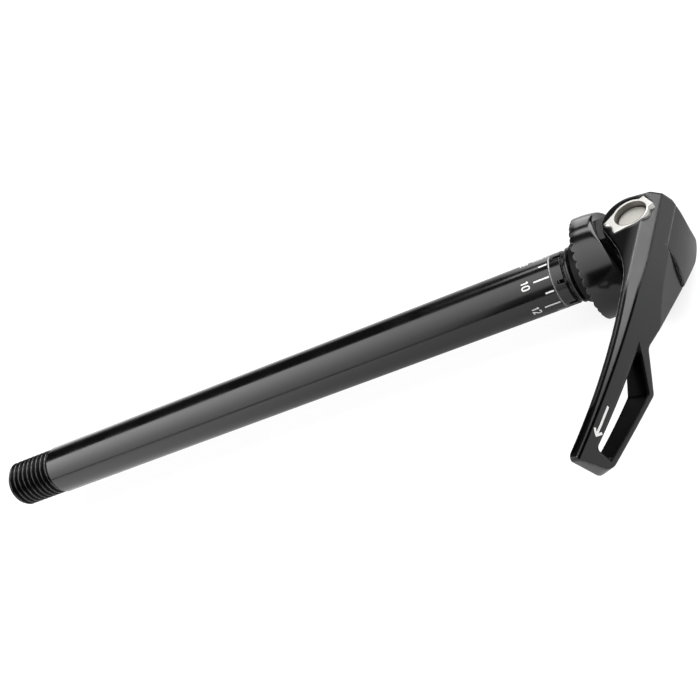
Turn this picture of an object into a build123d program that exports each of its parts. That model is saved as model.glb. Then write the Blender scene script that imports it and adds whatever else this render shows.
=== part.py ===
from build123d import *
import os
from math import acos, asin, atan2, cos, degrees, hypot, radians, sin, sqrt

# Bicycle thru axle with a cam lever, all sizes in millimetres.
# +X runs along the axle from the threaded end to the lever, +Z along the lever's pivot.
# The origin is on the axle's axis, at the lever end of the plain journal.

# Axle tube
JOURNAL_R = 6.0
JOURNAL_LENGTH = 142.5
THREAD_R = 5.82
THREAD_LENGTH = 14.5
THREAD_CHAMFER = 1.3
THREAD_PITCH = 1.5
THREAD_DEPTH = 0.8
THREAD_GROOVE = 1.1
BORE_R = 4.0
BORE_MOUTH_CHAMFER = 0.5
HEAD_POCKET_R = 3.8
HEAD_POCKET_DEPTH = 6.0
WEB_THICKNESS = 4.0
SOCKET_DEPTH = 12.0
TUBE_CONE_LENGTH = 1.2

# Splined nose of the cup, which slides in the tube and turns it
SPLINE_COUNT = 12
SPLINE_ROOT_R = 3.75
SPLINE_TIP_R = 4.25
SPLINE_WIDTH = 1.0
SPLINE_CLEARANCE = 0.1
NOSE_REACH = 5.0

# Split collet and the cone ring behind it
COLLET_LENGTH = 2.5
COLLET_DROP = 0.02
COLLET_WALL = 1.05
COLLET_LIP = 0.45
COLLET_CHAMFER = 0.2
COLLET_SLOTS = 6
COLLET_SLOT_WIDTH = 0.9
COLLET_WEB = 0.7
COLLET_TURN = 25.0
COLLET_GAP = 0.1
CONE_LENGTH = 1.1
RING_GROOVE = 0.7
RING_FLANGE = 0.9
RING_FLANGE_R = 6.2
RING_EDGE = 0.3
RING_FIT = 0.05

# Cam cup
CLAMP_FACE_X = 7.2
NECK_R = 5.2
BOSS_GAP = 0.6
BOSS_R = 6.6
BOSS_FLARE = 0.8
RIM_R = 11.4
RIM_WIDTH = 2.8
RIM_CHAMFER = 0.25
BACK_LENGTH = 6.4
BACK_DROP = 1.4
BACK_EDGE = 0.9
TEETH = 36
TOOTH_DEPTH = 0.7
TOOTH_GAP = 1.1
TOOTH_INNER_R = 8.2
SADDLE_R = 22.0
SADDLE_FLOOR_X = 12.3
SADDLE_OFFSET = 2.5
BOLT_CLEARANCE = 0.3

# Cam pad between the cup and the lever
PAD_R = 12.2
PAD_HALF_WIDTH = 3.5
PAD_HALF_LENGTH = 9.0
CAM_GAP = 0.1

# Tension bolt and its washer
BOLT_R = 2.5
BOLT_HEAD_R = 3.6
BOLT_HEAD_LENGTH = 4.0
BOLT_HEX = 4.0
BOLT_HEX_DEPTH = 2.6
BOLT_PAST_PIVOT = 3.2
WASHER_THICKNESS = 0.8
WASHER_FIT = 0.15

# Return spring round the bolt
SPRING_WIRE = 0.7
SPRING_R = 3.3
SPRING_TURNS = 3.0
SPRING_SEAT = 0.05

# Pivot trunnion and its bushes
PIVOT_X = 20.5
TRUNNION_R = 4.3
TRUNNION_HALF = 3.0
JOURNAL_PIN_R = 3.4
PIN_RECESS = 1.2
PIN_CHAMFER = 0.3
TAP_FIT = 0.05
BUSH_R = 3.9
BUSH_RUN = 0.05
BUSH_PROUD = 0.15
BUSH_EDGE = 0.15
FLANGE_R = 4.0
FLANGE_OFFSET = 0.3
FLANGE_THICKNESS = 1.3
TAIL_REACH = 5.3
TAIL_HALF_WIDTH = 2.3
TAIL_NOTCH_R = 2.2
TAIL_NOTCH = 0.5
TAIL_ANGLE = -50.0
BACK_REACH = 4.7
BACK_HALF_WIDTH = 1.95
BACK_SLIT = 0.35
POCKET_FIT = 0.04

# Lever: lengths run along the arm from the pivot, heights outwards from the frame
LEAN = 12.0
OPEN_ANGLE = 90.0
CAM_R = 6.4
CAM_LIFT = 0.7
HEAD_HALF = 9.8
SLOT_HALF = 3.25
SLOT_R = 4.75
SLOT_SIDE = 0.6
HEEL_LOW = 2.5
HEEL_LOW_REACH = 5.75
HEEL_HIGH_REACH = 8.2
HEEL_ROUND = 2.6
LEVER_TOP = 6.4
ROOT_LENGTH = 22.0
ROOT_HEIGHT = 1.9
ROOT_R = 24.6
ARM_R = 150.0
ARM_LENGTH = 63.0
SIDE_TAPER = 4.9
SIDE_LAND = 0.95
LAND_OVERLAP = 3.0
FLANK_SLOPE = 15.0
FLANK_HEIGHT = 7.1
FLANK_START = 10.0
FLANK_R = 184.0
FAR_SLOPE = 35.0
FAR_HEAD = 12.6
WAIST_LENGTH = 31.5
WAIST_FAR = 2.3
WAIST_ROUND = 2.0
WING_LENGTH = 39.5
WING_FAR = 7.45
WING_ROUND = 1.2
TIP_FAR = 1.2
TIP_SETBACK = 1.6
TIP_NEAR = 6.2
TIP_SKEW = 20.0
TIP_ROUND_FAR = 3.0
TIP_ROUND_NEAR = 1.2
WINDOW_START = 32.2
WINDOW_FOOT = 4.4
WINDOW_NEAR = 3.9
WINDOW_WIDE = 40.0
WINDOW_FAR = 2.3
WINDOW_FOOT_FAR = 0.7
WINDOW_FOOT_NEAR = 3.2
WINDOW_ROUND = 0.9
HEAD_CROWN = 2.3
HEAD_CORNER_FAR = 2.4
HEAD_CORNER_NEAR = 1.0
CAP_RISE = 0.5
CAP_R = 20.0
CAP_OFFSET = 2.5
CAP_NEAR = 3.4
CAP_GROOVE = 6.7
CAP_GROOVE_SKEW = 22.0
CAP_GROOVE_WIDTH = 0.6

# Places that follow from the sizes above
THREAD_END_X = -(JOURNAL_LENGTH + THREAD_LENGTH)
WEB_FACE_X = -SOCKET_DEPTH
BOLT_SEAT_X = WEB_FACE_X - WEB_THICKNESS
COLLET_X = COLLET_GAP
RING_X = COLLET_X + COLLET_LENGTH
NECK_X = RING_X + RING_GROOVE + RING_FLANGE
BOSS_X = NECK_X + BOSS_GAP
CAM_FLOOR_X = PIVOT_X - CAM_R - CAM_GAP
CAM_RATE = CAM_LIFT / radians(OPEN_ANGLE)
TIP_LENGTH = ARM_LENGTH - TIP_SETBACK
WINDOW_END = TIP_LENGTH - WINDOW_FOOT
SADDLE_CENTRE = (SADDLE_FLOOR_X + SADDLE_R, SADDLE_OFFSET)
BEYOND = 30.0


def turned(points):
    """A solid turned about the axle's axis from (x, radius) corners."""
    return revolve(make_face(Polyline(points, close=True)), Axis.X)


def rod(x_start, x_end, radius):
    """A round bar along the axle's axis."""
    return turned([(x_start, 0), (x_end, 0), (x_end, radius), (x_start, radius)])


def spline_bar(x_start, x_end, root_r, tip_r, width):
    """A bar along the axle with raised splines, used for the nose and for its socket."""
    plane = Plane(origin=(x_start, 0, 0), x_dir=(0, 1, 0), z_dir=(1, 0, 0))
    section = Circle(root_r)
    for i in range(SPLINE_COUNT):
        tooth = Pos(tip_r / 2, 0) * Rectangle(tip_r, width)
        section += Rot(0, 0, i * 360 / SPLINE_COUNT) * (tooth & Circle(tip_r))
    return extrude(plane * section, x_end - x_start)


def thread_grooves():
    """Corners of the thread's grooves, from the chamfered end to the journal."""
    count = int((THREAD_LENGTH - THREAD_CHAMFER) / THREAD_PITCH)
    points = []
    for i in reversed(range(count)):
        middle = -JOURNAL_LENGTH - THREAD_PITCH * (i + 0.5)
        points += [
            (middle - THREAD_GROOVE / 2, THREAD_R),
            (middle, THREAD_R - THREAD_DEPTH),
            (middle + THREAD_GROOVE / 2, THREAD_R),
        ]
    return points


def axle_tube():
    """Hollow axle: thread and journal outside, bolt seat, splined socket and cone at the lever end."""
    cone_tip_r = JOURNAL_R - COLLET_WALL
    body = turned([
        (THREAD_END_X, 0),
        (THREAD_END_X, THREAD_R - THREAD_CHAMFER),
        (THREAD_END_X + THREAD_CHAMFER, THREAD_R),
        *thread_grooves(),
        (-JOURNAL_LENGTH, THREAD_R),
        (-JOURNAL_LENGTH, JOURNAL_R),
        (0, JOURNAL_R),
        (0, JOURNAL_R - COLLET_LIP),
        (TUBE_CONE_LENGTH, cone_tip_r),
        (TUBE_CONE_LENGTH, 0),
    ])
    body -= turned([
        (THREAD_END_X, 0),
        (THREAD_END_X, BORE_R + BORE_MOUTH_CHAMFER),
        (THREAD_END_X + BORE_MOUTH_CHAMFER, BORE_R),
        (BOLT_SEAT_X - HEAD_POCKET_DEPTH, BORE_R),
        (BOLT_SEAT_X - HEAD_POCKET_DEPTH, HEAD_POCKET_R),
        (BOLT_SEAT_X, HEAD_POCKET_R),
        (BOLT_SEAT_X, 0),
    ])
    body -= rod(BOLT_SEAT_X - 1, 0, BOLT_R + BOLT_CLEARANCE)
    socket_width = SPLINE_WIDTH + 2 * SPLINE_CLEARANCE
    socket_root = SPLINE_ROOT_R + SPLINE_CLEARANCE
    socket_tip = SPLINE_TIP_R + SPLINE_CLEARANCE
    return body - spline_bar(WEB_FACE_X, TUBE_CONE_LENGTH, socket_root, socket_tip, socket_width)


def tension_bolt():
    """Socket-head bolt that pulls the trunnion towards the tube."""
    seat = BOLT_SEAT_X - WASHER_THICKNESS
    bolt = rod(seat - BOLT_HEAD_LENGTH, seat, BOLT_HEAD_R)
    bolt += rod(seat, PIVOT_X + BOLT_PAST_PIVOT, BOLT_R)
    plane = Plane(origin=(seat - BOLT_HEAD_LENGTH, 0, 0), x_dir=(0, 1, 0), z_dir=(1, 0, 0))
    hexagon = RegularPolygon(BOLT_HEX / 2, 6, major_radius=False)
    return bolt - extrude(plane * hexagon, BOLT_HEX_DEPTH)


def bolt_washer():
    """Flat washer under the bolt's head."""
    start = BOLT_SEAT_X - WASHER_THICKNESS
    ring = rod(start, BOLT_SEAT_X, HEAD_POCKET_R - WASHER_FIT)
    return ring - rod(start, BOLT_SEAT_X, BOLT_R + WASHER_FIT)


def return_spring():
    """Coil spring between the tube's web and the end of the cup's nose."""
    start = WEB_FACE_X + SPRING_WIRE / 2 + SPRING_SEAT
    height = -NOSE_REACH - SPRING_WIRE / 2 - SPRING_SEAT - start
    coil = Helix(pitch=height / SPRING_TURNS, height=height, radius=SPRING_R)
    section = Plane(origin=coil @ 0, z_dir=coil % 0) * RegularPolygon(SPRING_WIRE / 2, 6)
    wire = sweep(section, path=coil)
    return Plane(origin=(start, 0, 0), x_dir=(0, 1, 0), z_dir=(1, 0, 0)) * wire


def split_collet():
    """Slotted ring with a cone in each end, level with the journal outside."""
    lip_r = JOURNAL_R - COLLET_LIP
    throat_r = JOURNAL_R - COLLET_WALL
    outer_r = JOURNAL_R - COLLET_DROP
    end = COLLET_X + COLLET_LENGTH
    collet = turned([
        (COLLET_X, lip_r),
        (COLLET_X, outer_r),
        (end - COLLET_CHAMFER, outer_r),
        (end, outer_r - COLLET_CHAMFER),
        (end, lip_r),
        (end - CONE_LENGTH, throat_r),
        (COLLET_X + TUBE_CONE_LENGTH, throat_r),
    ])
    length = COLLET_LENGTH - COLLET_WEB
    slot = Pos(end - length / 2, JOURNAL_R, 0) * Box(length, 2 * JOURNAL_R, COLLET_SLOT_WIDTH)
    for i in range(COLLET_SLOTS):
        collet -= Rot(COLLET_TURN + i * 360 / COLLET_SLOTS, 0, 0) * slot
    return collet


def cone_ring():
    """Turned ring on the nose: its cone opens the collet, its round flange shows beside it."""
    bore_r = SPLINE_TIP_R + RING_FIT
    cone_r = JOURNAL_R - COLLET_LIP - RING_FIT
    flange_x = RING_X + RING_GROOVE
    body = turned([
        (RING_X - CONE_LENGTH, 0),
        (RING_X - CONE_LENGTH, JOURNAL_R - COLLET_WALL - RING_FIT),
        (RING_X, cone_r),
        (RING_X + RING_FIT, cone_r - COLLET_LIP),
        (flange_x, cone_r - COLLET_LIP),
        (flange_x, RING_FLANGE_R - RING_EDGE),
        (flange_x + RING_EDGE, RING_FLANGE_R),
        (NECK_X - RING_EDGE, RING_FLANGE_R),
        (NECK_X, RING_FLANGE_R - RING_EDGE),
        (NECK_X, 0),
    ])
    return body - rod(RING_X - CONE_LENGTH, NECK_X, bore_r)


def saddle(x_extra=0.0):
    """Round bar across the cup along the pivot, whose wall is the saddle under the pad."""
    x, y = SADDLE_CENTRE
    return Pos(x + x_extra, y, 0) * Cylinder(SADDLE_R, 4 * RIM_R)


def cam_cup():
    """Cup that clamps the frame: toothed face round a boss, tapered back with the saddle, splined nose."""
    rim_end = CLAMP_FACE_X + RIM_WIDTH
    back_end = (rim_end + BACK_LENGTH, RIM_R - BACK_DROP)
    cup = turned([
        (NECK_X, 0),
        (NECK_X, NECK_R),
        (BOSS_X, NECK_R),
        (BOSS_X, BOSS_R),
        (CLAMP_FACE_X, BOSS_R + BOSS_FLARE),
        (CLAMP_FACE_X, RIM_R - RIM_CHAMFER),
        (CLAMP_FACE_X + RIM_CHAMFER, RIM_R),
        (rim_end, RIM_R),
        back_end,
        (back_end[0], 0),
    ])
    cup -= saddle()
    back = cup.faces().filter_by(GeomType.CONE).sort_by(Axis.X)[-1]
    cup = chamfer(back.edges().filter_by(GeomType.BSPLINE), BACK_EDGE)
    gap = Polyline(
        (CLAMP_FACE_X, -TOOTH_GAP / 2),
        (CLAMP_FACE_X, TOOTH_GAP / 2),
        (CLAMP_FACE_X + TOOTH_DEPTH, 0),
        close=True,
    )
    groove_plane = Plane(origin=(0, 0, TOOTH_INNER_R), x_dir=(1, 0, 0), z_dir=(0, 0, 1))
    groove = extrude(groove_plane * make_face(gap), RIM_R)
    cup -= [Rot(i * 360 / TEETH, 0, 0) * groove for i in range(TEETH)]
    cup += spline_bar(-NOSE_REACH, NECK_X, SPLINE_ROOT_R, SPLINE_TIP_R, SPLINE_WIDTH)
    return cup - rod(-NOSE_REACH, PIVOT_X, BOLT_R + BOLT_CLEARANCE)


def cam_pad():
    """Curved pad that lies in the saddle and carries the lever's cam."""
    pad = Pos(CAM_FLOOR_X, 0, 0) * Box(BEYOND / 2, 2 * PAD_HALF_WIDTH, 2 * PAD_HALF_LENGTH)
    pad &= saddle()
    pad -= Pos(CAM_FLOOR_X + PAD_R, 0, 0) * Cylinder(PAD_R, 4 * PAD_HALF_LENGTH)
    return pad - rod(0, PIVOT_X, BOLT_R + BOLT_CLEARANCE)


def trunnion():
    """Cross pin with a tapped middle for the bolt and a bevelled journal at each end."""
    pin_half = HEAD_HALF - PIN_RECESS
    journal = Cylinder(JOURNAL_PIN_R, 2 * pin_half)
    journal = chamfer(journal.edges(), PIN_CHAMFER)
    pin = journal + Cylinder(TRUNNION_R, 2 * TRUNNION_HALF)
    pin -= Rot(0, 90, 0) * Cylinder(BOLT_R + TAP_FIT, 4 * TRUNNION_R)
    return Pos(PIVOT_X, 0, 0) * pin


def lever_frame():
    """Place of the lever: its x runs along the arm, y outwards from the frame, z along the pivot."""
    lean = radians(LEAN)
    return Plane(origin=(PIVOT_X, 0, 0), x_dir=(-sin(lean), -cos(lean), 0), z_dir=(0, 0, 1))


def bush_outline(grow, slit=0.0):
    """Flange set off to one side, tapering to a fishtail in front, with a square end behind it."""
    reach = TAIL_REACH + grow
    tail = make_face(Polyline(
        (0, FLANGE_R + grow),
        (reach, TAIL_HALF_WIDTH + grow),
        (reach, -TAIL_HALF_WIDTH - grow),
        (0, -FLANGE_R - grow),
        close=True,
    ))
    tail -= Pos(TAIL_REACH + TAIL_NOTCH_R - TAIL_NOTCH, 0) * Circle(TAIL_NOTCH_R - grow)
    back = BACK_REACH + grow + slit
    outline = Circle(FLANGE_R + grow) + tail
    outline += Pos(-back / 2, 0) * Rectangle(back, 2 * (BACK_HALF_WIDTH + grow))
    return Rot(0, 0, TAIL_ANGLE) * Pos(0, -FLANGE_OFFSET) * outline


def pivot_bush(side):
    """Keyed bush in one cheek, in which the trunnion's journal turns."""
    start = HEAD_HALF - FLANGE_THICKNESS
    flange = extrude(Pos(0, 0, start) * bush_outline(0), FLANGE_THICKNESS + BUSH_PROUD)
    top = flange.faces().sort_by(Axis.Z)[-1]
    flange = chamfer(top.edges(), BUSH_EDGE)
    upright = (Align.CENTER, Align.CENTER, Align.MIN)
    sleeve = Pos(0, 0, SLOT_HALF) * Cylinder(BUSH_R, start - SLOT_HALF, align=upright)
    bush = flange + sleeve - Cylinder(JOURNAL_PIN_R + BUSH_RUN, 4 * HEAD_HALF)
    if side < 0:
        bush = mirror(bush, Plane.XY)
    return lever_frame() * bush


def cam_point(turn):
    """Point of the cam's edge that meets the pad when the lever has opened by turn degrees."""
    angle = radians(LEAN - 90 - turn)
    radius = CAM_R - CAM_RATE * radians(max(turn, 0))
    return (radius * cos(angle), radius * sin(angle))


def side_outline():
    """Outline of the lever seen along its pivot."""
    root_centre = (ROOT_LENGTH, ROOT_HEIGHT - ROOT_R)
    spread = acos((CAM_R + ROOT_R) / hypot(*root_centre))
    normal = atan2(root_centre[1], root_centre[0]) - spread
    lobe = (CAM_R * cos(normal), CAM_R * sin(normal))
    root = (root_centre[0] - ROOT_R * cos(normal), root_centre[1] - ROOT_R * sin(normal))
    half_root = (normal + radians(180) + radians(90)) / 2
    root_mid = (root_centre[0] + ROOT_R * cos(half_root), root_centre[1] + ROOT_R * sin(half_root))
    lobe_turn = LEAN - 90 - degrees(normal)
    arm_angle = asin((ARM_LENGTH - ROOT_LENGTH) / ARM_R)

    def arm_point(share):
        return (
            ROOT_LENGTH + ARM_R * sin(share * arm_angle),
            ROOT_HEIGHT - ARM_R * (1 - cos(share * arm_angle)),
        )

    cam_steps = 6
    cam = [cam_point(OPEN_ANGLE * i / cam_steps) for i in range(cam_steps + 1)]
    heel = [cam[-1], (-HEEL_LOW_REACH, HEEL_LOW)]
    height = LEVER_TOP + CAP_RISE
    bend = HEEL_ROUND * (1 - sqrt(0.5))
    top = [
        (-HEEL_HIGH_REACH, height - HEEL_ROUND),
        (-HEEL_HIGH_REACH + bend, height - bend),
        (-HEEL_HIGH_REACH + HEEL_ROUND, height),
    ]
    outline = [
        ThreePointArc(lobe, cam_point(lobe_turn / 2), cam[0]),
        Spline(cam),
        Polyline(*heel, top[0]),
        ThreePointArc(*top),
        Polyline(top[2], (ARM_LENGTH, height), arm_point(1)),
        ThreePointArc(arm_point(1), arm_point(0.5), arm_point(0)),
        ThreePointArc(arm_point(0), root_mid, root),
        Line(root, lobe),
    ]
    return make_face(Curve() + outline)


def flank_cut():
    """Material above the long facet, which slopes up from the near side to the far side."""
    end = ARM_LENGTH + BEYOND / 2
    drop = FLANK_R - sqrt(FLANK_R ** 2 - (end - FLANK_START) ** 2)
    middle = (end + FLANK_START) / 2
    middle_drop = FLANK_R - sqrt(FLANK_R ** 2 - (middle - FLANK_START) ** 2)
    outline = [
        Line((-BEYOND, FLANK_HEIGHT), (FLANK_START, FLANK_HEIGHT)),
        ThreePointArc(
            (FLANK_START, FLANK_HEIGHT),
            (middle, FLANK_HEIGHT - middle_drop),
            (end, FLANK_HEIGHT - drop),
        ),
        Polyline((end, FLANK_HEIGHT - drop), (end, BEYOND), (-BEYOND, BEYOND), (-BEYOND, FLANK_HEIGHT)),
    ]
    slope = (0, -sin(radians(FLANK_SLOPE)), cos(radians(FLANK_SLOPE)))
    return extrude(make_face(Curve() + outline), BEYOND, dir=slope, both=True)


def land_cut(start, end, plane, arc_drop):
    """Material outside the bright chamfer along the near side, over one stretch of the arm."""
    height = ROOT_HEIGHT + SIDE_LAND
    middle = (start + end) / 2
    outline = [
        ThreePointArc(
            (start, height - arc_drop(start)),
            (middle, height - arc_drop(middle)),
            (end, height - arc_drop(end)),
        ) if arc_drop(end) else Line((start, height), (end, height)),
        Polyline(
            (end, height - arc_drop(end)),
            (end, BEYOND),
            (start, BEYOND),
            (start, height - arc_drop(start)),
        ),
    ]
    face = plane * make_face(Curve() + outline)
    return extrude(face, BEYOND, dir=plane.y_dir - plane.z_dir) + extrude(face, BEYOND, dir=plane.z_dir)


def plan_plane(height):
    """Plane across the arm at one height: x along the arm, y towards the far side."""
    return Plane(origin=(0, height, 0), x_dir=(1, 0, 0), z_dir=(0, 1, 0))


def far_cut():
    """Material beyond the far side, which narrows to the waist, flares to the wing and tapers."""
    run = (FAR_HEAD - WAIST_FAR) / WAIST_LENGTH
    outline = make_face(Polyline(
        (-BEYOND, FAR_HEAD + run * BEYOND),
        (WAIST_LENGTH, WAIST_FAR),
        (WING_LENGTH, WING_FAR),
        (ARM_LENGTH + 1, TIP_FAR),
        (ARM_LENGTH + 1, 2 * BEYOND),
        (-BEYOND, 2 * BEYOND),
        close=True,
    ))
    for length, corner in ((WAIST_LENGTH, WAIST_ROUND), (WING_LENGTH, WING_ROUND)):
        at_length = outline.vertices().filter_by_position(Axis.X, length - 0.01, length + 0.01)
        outline = fillet(at_length, corner)
    slope = (0, cos(radians(FAR_SLOPE)), sin(radians(FAR_SLOPE)))
    return extrude(plan_plane(0) * outline, BEYOND, dir=slope, both=True)


def tip_cut():
    """Material beyond the slanted tip."""
    skew = radians(TIP_SKEW)
    tip = Plane(
        origin=(TIP_LENGTH, 0, TIP_NEAR),
        x_dir=(-sin(skew), 0, -cos(skew)),
        z_dir=(cos(skew), 0, -sin(skew)),
    )
    return tip * Pos(0, 0, BEYOND / 2) * Box(4 * BEYOND, 4 * BEYOND, BEYOND)


def crown_cut():
    """Material outside the gently rounded end of the head and its two corners."""
    crown_r = (HEAD_HALF ** 2 + HEAD_CROWN ** 2) / (2 * HEAD_CROWN)
    keep = Pos(crown_r - HEEL_HIGH_REACH, 0) * Circle(crown_r) & Rectangle(BEYOND, 2 * HEAD_HALF)
    corners = keep.vertices().sort_by(Axis.X)[:2].sort_by(Axis.Y)
    near, far = corners[0], corners[1]
    keep = fillet(far, HEAD_CORNER_FAR)
    near = keep.vertices().group_by(Axis.Y)[0].sort_by(Axis.X)[0]
    keep = fillet(near, HEAD_CORNER_NEAR)
    end = Pos(-BEYOND / 2, 0) * Rectangle(BEYOND, 4 * HEAD_HALF) - keep
    return extrude(plan_plane(0) * end, BEYOND, both=True)


def cap_frame():
    """Place of the cap's lower edge: its x points down the arm, square to the fine groove."""
    return Pos(CAP_GROOVE, 0, 0) * Rot(0, -CAP_GROOVE_SKEW, 0)


def cap_cut():
    """Material above the head's domed cap, and above the arm's flat top below it."""
    block = Box(2 * BEYOND, BEYOND, 4 * BEYOND, align=(Align.MAX, Align.MIN, Align.CENTER))
    top = LEVER_TOP + CAP_RISE
    dome = Pos(0, top - CAP_R, -CAP_OFFSET) * Rot(0, 90, 0) * Cylinder(CAP_R, 8 * BEYOND)
    cap = cap_frame() * Pos(0, LEVER_TOP - CAP_RISE * 2, 0) * block - dome
    cap -= Pos(0, 0, CAP_NEAR + BEYOND) * Box(8 * BEYOND, 8 * BEYOND, 2 * BEYOND)
    arm = cap_frame() * Pos(2 * BEYOND, LEVER_TOP, 0) * block
    return cap + arm


def slot_cut():
    """Space between the cheeks for the trunnion and for the bolt as the lever swings."""
    slot = Circle(SLOT_R)
    ends = []
    for turn in (0, OPEN_ANGLE):
        angle = LEAN - 90 - turn
        slot += Rot(0, 0, angle) * Pos(BEYOND / 2, 0) * Rectangle(BEYOND, 2 * (BOLT_R + SLOT_SIDE))
        ends.append((BEYOND * cos(radians(angle)), BEYOND * sin(radians(angle))))
    slot += make_face(Polyline((0, 0), *ends, close=True))
    return extrude(slot, SLOT_HALF, both=True)


def window_cut():
    """Opening through the arm near its tip."""
    outline = make_face(Polyline(
        (WINDOW_START, -WINDOW_NEAR),
        (WINDOW_WIDE, WINDOW_FAR),
        (WINDOW_END, WINDOW_FOOT_FAR),
        (WINDOW_END, -WINDOW_FOOT_NEAR),
        close=True,
    ))
    outline = fillet(outline.vertices(), WINDOW_ROUND)
    return extrude(plan_plane(0) * outline, BEYOND, both=True)


def groove_cut():
    """Fine groove across the head's outer face, at the cap's lower edge."""
    bar = Rot(0, 0, 45) * Box(CAP_GROOVE_WIDTH, CAP_GROOVE_WIDTH, 4 * BEYOND)
    return cap_frame() * Pos(0, LEVER_TOP, 0) * bar


def lever():
    """Forged lever: cam head with two cheeks, waisted arm, long facets and a window near the tip."""
    taper = radians(SIDE_TAPER)
    near_plane = Plane(
        origin=(ROOT_LENGTH, 0, HEAD_HALF),
        x_dir=(cos(taper), 0, -sin(taper)),
        z_dir=(sin(taper), 0, cos(taper)),
    )
    head_plane = Plane(origin=(ROOT_LENGTH, 0, HEAD_HALF), x_dir=(1, 0, 0), z_dir=(0, 0, 1))

    def bend(along):
        return ARM_R - sqrt(ARM_R ** 2 - along ** 2)

    body = extrude(side_outline(), HEAD_HALF, both=True)
    body -= near_plane * Pos(BEYOND, 0, BEYOND / 2) * Box(4 * BEYOND, 4 * BEYOND, BEYOND)
    body -= flank_cut()
    body -= land_cut(-BEYOND, LAND_OVERLAP, head_plane, lambda along: 0)
    body -= land_cut(0, ARM_LENGTH, near_plane, bend)
    body -= far_cut()
    body -= tip_cut()
    tip = body.faces().sort_by(Axis.X)[-1]
    tip_edges = tip.edges().sort_by(Axis.Z)
    body = fillet(tip_edges[0], TIP_ROUND_FAR)
    tip = body.faces().filter_by(GeomType.PLANE).sort_by(Axis.X)[-1]
    body = fillet(tip.edges().sort_by(Axis.Z)[-1], TIP_ROUND_NEAR)
    body -= crown_cut()
    body -= cap_cut()
    body -= groove_cut()
    body -= slot_cut()
    body -= Cylinder(BUSH_R + POCKET_FIT, 4 * HEAD_HALF)
    pocket_floor = HEAD_HALF - FLANGE_THICKNESS - POCKET_FIT
    pocket = extrude(Pos(0, 0, pocket_floor) * bush_outline(POCKET_FIT, BACK_SLIT), BEYOND)
    body -= pocket + mirror(pocket, Plane.XY)
    body -= window_cut()
    return lever_frame() * body


os.makedirs("parts", exist_ok=True)
PIECES = {
    "axle_tube": axle_tube(),
    "tension_bolt": tension_bolt(),
    "bolt_washer": bolt_washer(),
    "return_spring": return_spring(),
    "split_collet": split_collet(),
    "cone_ring": cone_ring(),
    "cam_cup": cam_cup(),
    "cam_pad": cam_pad(),
    "trunnion": trunnion(),
    "bush_near": pivot_bush(1),
    "bush_far": pivot_bush(-1),
    "lever": lever(),
}
for name, piece in PIECES.items():
    export_step(piece, f"parts/{name}.step")
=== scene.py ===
import logging
from dataclasses import dataclass
from enum import Enum
from functools import partial, reduce
from typing import Callable, Optional, Sequence, Union

import bpy
import numpy as np
from mathutils import Matrix, Vector


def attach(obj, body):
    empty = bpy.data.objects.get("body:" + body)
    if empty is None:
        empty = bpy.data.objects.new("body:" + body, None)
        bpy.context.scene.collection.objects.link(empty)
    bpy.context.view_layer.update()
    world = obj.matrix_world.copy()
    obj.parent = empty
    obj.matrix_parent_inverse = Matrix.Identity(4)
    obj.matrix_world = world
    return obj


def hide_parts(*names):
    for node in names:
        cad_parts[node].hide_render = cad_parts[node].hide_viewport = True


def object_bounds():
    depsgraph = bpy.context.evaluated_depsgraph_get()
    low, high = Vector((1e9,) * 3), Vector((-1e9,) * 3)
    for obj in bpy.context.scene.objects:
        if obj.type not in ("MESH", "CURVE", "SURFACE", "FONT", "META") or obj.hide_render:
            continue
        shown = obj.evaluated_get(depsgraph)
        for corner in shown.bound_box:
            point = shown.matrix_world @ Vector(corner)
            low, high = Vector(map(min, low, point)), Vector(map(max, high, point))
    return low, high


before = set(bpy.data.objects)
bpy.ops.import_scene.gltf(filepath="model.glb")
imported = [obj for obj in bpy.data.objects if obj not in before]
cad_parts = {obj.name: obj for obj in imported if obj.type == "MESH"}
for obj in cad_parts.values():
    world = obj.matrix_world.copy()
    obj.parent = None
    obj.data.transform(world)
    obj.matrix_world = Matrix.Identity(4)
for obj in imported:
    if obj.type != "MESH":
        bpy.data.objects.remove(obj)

LOG = logging.getLogger("thru_axle")
MM = 0.001
CAD_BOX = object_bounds()
NUMBER = "NodeSocketFloat"

Colour = tuple[float, float, float]
Span = tuple[float, float]
Socket = bpy.types.NodeSocket
Value = Union[Socket, float, Sequence[float]]
Masks = Callable[["Kit"], tuple[Socket, Socket]]
Ribbon = tuple[np.ndarray, np.ndarray]

DEEP_BLACK: Colour = (0.0025, 0.0025, 0.0027)


class Body(Enum):
    """Bodies of the part that a piece can ride on."""

    AXLE = "axle"
    CUP = "cup"
    LEVER = "lever"


class Lines(Enum):
    """Way in which the tool marks run over a finish."""

    NONE = "none"
    ALONG_AXLE = "rings round the axle"
    ROUND_PIVOT = "rings round the pivot"


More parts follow.
